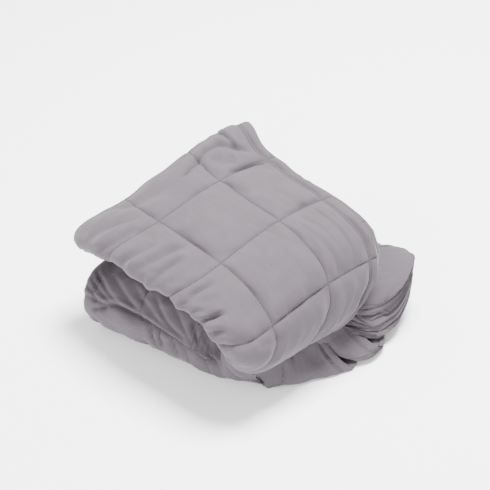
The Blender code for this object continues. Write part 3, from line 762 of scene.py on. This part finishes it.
# ---- Materials ----
CLOTH_COLOUR = (0.065, 0.055, 0.064, 1)
CLOTH_LIGHT = (0.077, 0.065, 0.075, 1)
CLOTH_DARK = (0.053, 0.045, 0.052, 1)
# painted shade along the seam grooves
PAINTED_SEAM_SHADE_COLOUR = (0.018, 0.015, 0.018, 1)
# painted shade inside the deep creases
PAINTED_FOLD_SHADE_COLOUR = (0.009, 0.007, 0.009, 1)
THREAD_DARK = (0.040, 0.035, 0.039, 1)
THREAD_LIGHT = (0.068, 0.060, 0.067, 1)
PAINTED_SEAM_SHADE_WIDTH = 0.0016  # half the width of the shade painted along a seam's groove
PAINTED_SEAM_SHADE_BREAKS = 300.0  # the spots to the metre that make that painted shade uneven
BREAK_RANGE, PAINTED_SEAM_SHADE_STRENGTH = (0.3, 0.6), (0.45, 0.95)  # the range of their noise, and the painted shade's strengths
CLOUDS, FUZZ = 26.0, 900.0  # soft clouds and fine specks in the nap, to the metre
STREAKS = (260.0, 30.0, 1.0)  # long streaks, to the metre across and along
STREAK_SHARE = 0.25  # their share in the nap's tone
TONE_RANGE = (0.36, 0.64)  # the range of that tone that runs from dark to light
CALMED = 0.5  # how much of the cloth's middle colour is mixed in
SPECK_RANGE = (0.90, 1.10)  # what the specks multiply the colour by
# how strongly the painted crease shade is mixed in
PAINTED_FOLD_SHADE_MIX = 0.8
ROUGHNESS = (0.74, 0.92)
WEAVE = 0.0009  # the pitch of the weave
SMALL_FOLDS = (150.0, 40.0, 1.0)  # to the metre across and along
WEAVE_BUMP, NAP_BUMP, FOLD_BUMP = (0.35, 0.00006), (0.5, 0.0002), (0.6, 0.0009)  # strength and height
THREAD_SPOTS = 300.0  # to the metre


class Graph:
    """Short names for the shader nodes that the materials are made of."""

    def __init__(self, nodes, links):
        self.nodes, self.links = nodes, links

    def add(self, kind, inputs=(), **settings):
        node = self.nodes.new(kind)
        for name, value in settings.items():
            setattr(node, name, value)
        for key, value in dict(inputs).items():
            if isinstance(value, bpy.types.NodeSocket):
                self.links.new(value, node.inputs[key])
            else:
                node.inputs[key].default_value = value
        return node

    def math(self, operation, *values):
        return self.add("ShaderNodeMath", dict(enumerate(values)), operation=operation).outputs[0]

    def seam_distance(self, value, first, spacing):
        """Metres from the nearest of many evenly spaced seams."""
        steps = self.math("DIVIDE", self.math("SUBTRACT", value, first), spacing)
        return self.math("MULTIPLY", self.math("PINGPONG", steps, 0.5), spacing)

    def line(self, distance, width):
        """1 on a line, falling to 0 at its width."""
        fall = self.math("DIVIDE", distance, width)
        return self.math("SUBTRACT", 1.0, self.math("MINIMUM", fall, 1.0))

    def strongest(self, *values):
        best = values[0]
        for value in values[1:]:
            best = self.math("MAXIMUM", best, value)
        return best

    def noise(self, vector, scale, detail=2.0):
        inputs = {"Vector": vector, "Scale": scale, "Detail": detail}
        return self.add("ShaderNodeTexNoise", inputs).outputs["Fac"]

    def long_noise(self, vector, scales):
        """Noise with one scale across the cloth and another along it."""
        stretched = self.add("ShaderNodeMapping", {"Vector": vector, "Scale": scales}).outputs["Vector"]
        return self.noise(stretched, 1.0, 3.0)

    def ranged(self, value, old=(0.0, 1.0), new=(0.0, 1.0)):
        """A value carried from its old range to a new one, and held inside that."""
        limits = {"From Min": old[0], "From Max": old[1], "To Min": new[0], "To Max": new[1]}
        return self.add("ShaderNodeMapRange", {"Value": value, **limits}).outputs["Result"]

    def mix(self, amount, first, second, blend="MIX"):
        """Two colours mixed. Some of this node's sockets share their names, so they go by number."""
        sockets = {0: amount, 6: first, 7: second}
        return self.add("ShaderNodeMix", sockets, data_type="RGBA", blend_type=blend).outputs[2]

    def attribute(self, name):
        return self.add("ShaderNodeAttribute", attribute_name=name).outputs["Fac"]

    def bump(self, height, strength, distance, **under):
        inputs = {"Height": height, "Strength": strength, "Distance": distance, **under}
        return self.add("ShaderNodeBump", inputs).outputs["Normal"]


def new_material(name):
    """A material, its graph and its shader."""
    material = bpy.data.materials.new(name)
    material.use_nodes = True
    tree = material.node_tree
    return material, Graph(tree.nodes, tree.links), tree.nodes["Principled BSDF"]


def painted_seam_shade_mask(graph, across, along):
    """Where shade is painted in the seam grooves: 1 on every line of stitching, falling to 0 beside it."""
    distances = [graph.seam_distance(across, SIDE_BORDER, CELL),
                 graph.seam_distance(along, END_BORDER, CELL)]
    for value, size in ((across, WIDTH), (along, LENGTH)):
        for line in (*HEMS, *(size - hem for hem in HEMS)):
            distances.append(graph.math("ABSOLUTE", graph.math("SUBTRACT", value, line)))
    return graph.strongest(*(graph.line(distance, PAINTED_SEAM_SHADE_WIDTH) for distance in distances))


def cloth_colour(graph, cloth, across, along, clouds, fuzz):
    """The nap's colour, with shade painted into the seam grooves and into the creases."""
    # The nap lies a little differently from place to place, and is brushed lighter in long soft streaks.
    streaks = graph.math("MULTIPLY", graph.long_noise(cloth, STREAKS), STREAK_SHARE)
    tone = graph.math("ADD", graph.math("MULTIPLY", clouds, 1 - STREAK_SHARE), streaks)
    colour = graph.mix(graph.ranged(tone, TONE_RANGE), CLOTH_DARK, CLOTH_LIGHT)
    colour = graph.mix(CALMED, colour, CLOTH_COLOUR)
    speck = graph.ranged(fuzz, new=SPECK_RANGE)
    specks = graph.add("ShaderNodeCombineColor", dict(enumerate([speck] * 3))).outputs[0]
    colour = graph.mix(1.0, colour, specks, "MULTIPLY")
    # Painted shade along the seam grooves, broken up by noise and left off where the seam is pulled flat.
    broken = graph.ranged(graph.noise(cloth, PAINTED_SEAM_SHADE_BREAKS), BREAK_RANGE, PAINTED_SEAM_SHADE_STRENGTH)
    seam = graph.math("MULTIPLY", painted_seam_shade_mask(graph, across, along), broken)
    seam = graph.math("MULTIPLY", seam, graph.math("SUBTRACT", 1.0, graph.attribute("hidden")))
    colour = graph.mix(seam, colour, PAINTED_SEAM_SHADE_COLOUR)
    # Painted shade inside the deep creases.
    inside = graph.math("MULTIPLY", graph.attribute("painted_shade"), PAINTED_FOLD_SHADE_MIX)
    return graph.mix(inside, colour, PAINTED_FOLD_SHADE_COLOUR)


def cloth_normal(graph, cloth, across, along, fuzz):
    """The fine weave, the nap over it and the smallest folds."""
    turns = 2 * math.pi / WEAVE
    warp, weft = (graph.math("SINE", graph.math("MULTIPLY", value, turns)) for value in (across, along))
    normal = graph.bump(graph.math("MULTIPLY", warp, weft), *WEAVE_BUMP)
    normal = graph.bump(fuzz, *NAP_BUMP, Normal=normal)
    return graph.bump(graph.long_noise(cloth, SMALL_FOLDS), *FOLD_BUMP, Normal=normal)


def cloth_material():
    """Brushed woven cloth."""
    material, graph, shader = new_material("brushed_cloth")
    cloth = graph.add("ShaderNodeUVMap", uv_map="cloth").outputs["UV"]
    split = graph.add("ShaderNodeSeparateXYZ", {"Vector": cloth})
    across, along = split.outputs["X"], split.outputs["Y"]
    clouds, fuzz = graph.noise(cloth, CLOUDS, 4.0), graph.noise(cloth, FUZZ, 3.0)
    graph.links.new(cloth_colour(graph, cloth, across, along, clouds, fuzz), shader.inputs["Base Color"])
    graph.links.new(cloth_normal(graph, cloth, across, along, fuzz), shader.inputs["Normal"])
    graph.links.new(graph.ranged(clouds, new=ROUGHNESS), shader.inputs["Roughness"])
    shader.inputs["Sheen Weight"].default_value = 0.12
    shader.inputs["Sheen Roughness"].default_value = 0.45
    shader.inputs["Sheen Tint"].default_value = (0.86, 0.84, 0.87, 1)
    shader.inputs["Specular IOR Level"].default_value = 0.25
    return material


def thread_material():
    material, graph, shader = new_material("thread")
    tone = graph.noise(graph.add("ShaderNodeTexCoord").outputs["Object"], THREAD_SPOTS)
    graph.links.new(graph.mix(tone, THREAD_DARK, THREAD_LIGHT), shader.inputs["Base Color"])
    shader.inputs["Roughness"].default_value = 0.6
    shader.inputs["Sheen Weight"].default_value = 0.2
    return material


# ---- Camera, floor and light ----
VIEW_TURN = math.radians(46)
VIEW_RISE = math.radians(35)
FRAME_PIXELS = 490
PIXELS_PER_METRE = 725.0  # at the pile's middle
DISTANCE = 2.4
SENSOR = 36  # millimetres
PILE_PIXEL = (245.0, 300.0)  # where the photograph shows the path's own origin on the floor
FLOOR_HALF = 4.0
FLOOR_COLOUR = (0.93, 0.94, 0.95, 1)
# The lamps' places, sizes and powers. They point at the origin.
LAMPS = (
    ("key", (-0.1, 0.7, 2.3), 1.0, 300),
    ("left", (-0.9, -2.0, 0.8), 1.2, 42),
    ("fill", (1.2, -2.0, 0.6), 1.2, 85),
)
SKY = 1.25  # the strength of the even light from all sides


def add_camera():
    """The photograph's camera."""
    level = math.cos(VIEW_RISE)
    back = Vector((math.sin(VIEW_TURN) * level, -math.cos(VIEW_TURN) * level, math.sin(VIEW_RISE)))
    right = Vector((math.cos(VIEW_TURN), math.sin(VIEW_TURN), 0))
    up = back.cross(right)
    path_origin = Vector((-MIDDLE[0], -MIDDLE[1], 0))
    aside = (FRAME_PIXELS / 2 - PILE_PIXEL[0]) / PIXELS_PER_METRE
    above = (PILE_PIXEL[1] - FRAME_PIXELS / 2) / PIXELS_PER_METRE
    target = path_origin + right * aside + up * above
    data = bpy.data.cameras.new("camera")
    data.sensor_width = SENSOR
    data.lens = SENSOR * DISTANCE * PIXELS_PER_METRE / FRAME_PIXELS
    camera = bpy.data.objects.new("camera", data)
    camera.location = target + back * DISTANCE
    camera.rotation_euler = back.to_track_quat("Z", "Y").to_euler()
    bpy.context.scene.collection.objects.link(camera)
    bpy.context.scene.camera = camera


def add_lamp(name, place_at, size, power):
    data = bpy.data.lights.new(name, "AREA")
    data.size, data.energy = size, power
    lamp = bpy.data.objects.new(name, data)
    lamp.location = place_at
    lamp.rotation_euler = Vector(place_at).to_track_quat("Z", "Y").to_euler()
    bpy.context.scene.collection.objects.link(lamp)


def add_studio():
    """A plain pale floor, three lamps and even light from all sides."""
    corners = np.array([(-1, -1, 0), (1, -1, 0), (1, 1, 0), (-1, 1, 0)]) * FLOOR_HALF
    floor = new_object("floor", corners, [(0, 1, 2, 3)])
    material, _, shader = new_material("floor")
    shader.inputs["Base Color"].default_value = FLOOR_COLOUR
    shader.inputs["Roughness"].default_value = 0.6
    floor.data.materials.append(material)
    for lamp in LAMPS:
        add_lamp(*lamp)
    world = bpy.data.worlds.new("studio")
    world.use_nodes = True
    sky = world.node_tree.nodes["Background"].inputs
    sky["Color"].default_value = (1, 1, 1, 1)
    sky["Strength"].default_value = SKY
    bpy.context.scene.world = world


add_camera()
add_studio()
cloth, front_grid = build_cloth()
cloth.data.materials.append(cloth_material())
stitches = build_stitches(*front_grid)
stitches.data.materials.append(thread_material())
for piece in (cloth, stitches):
    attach(piece, "root")
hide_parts("blanket")
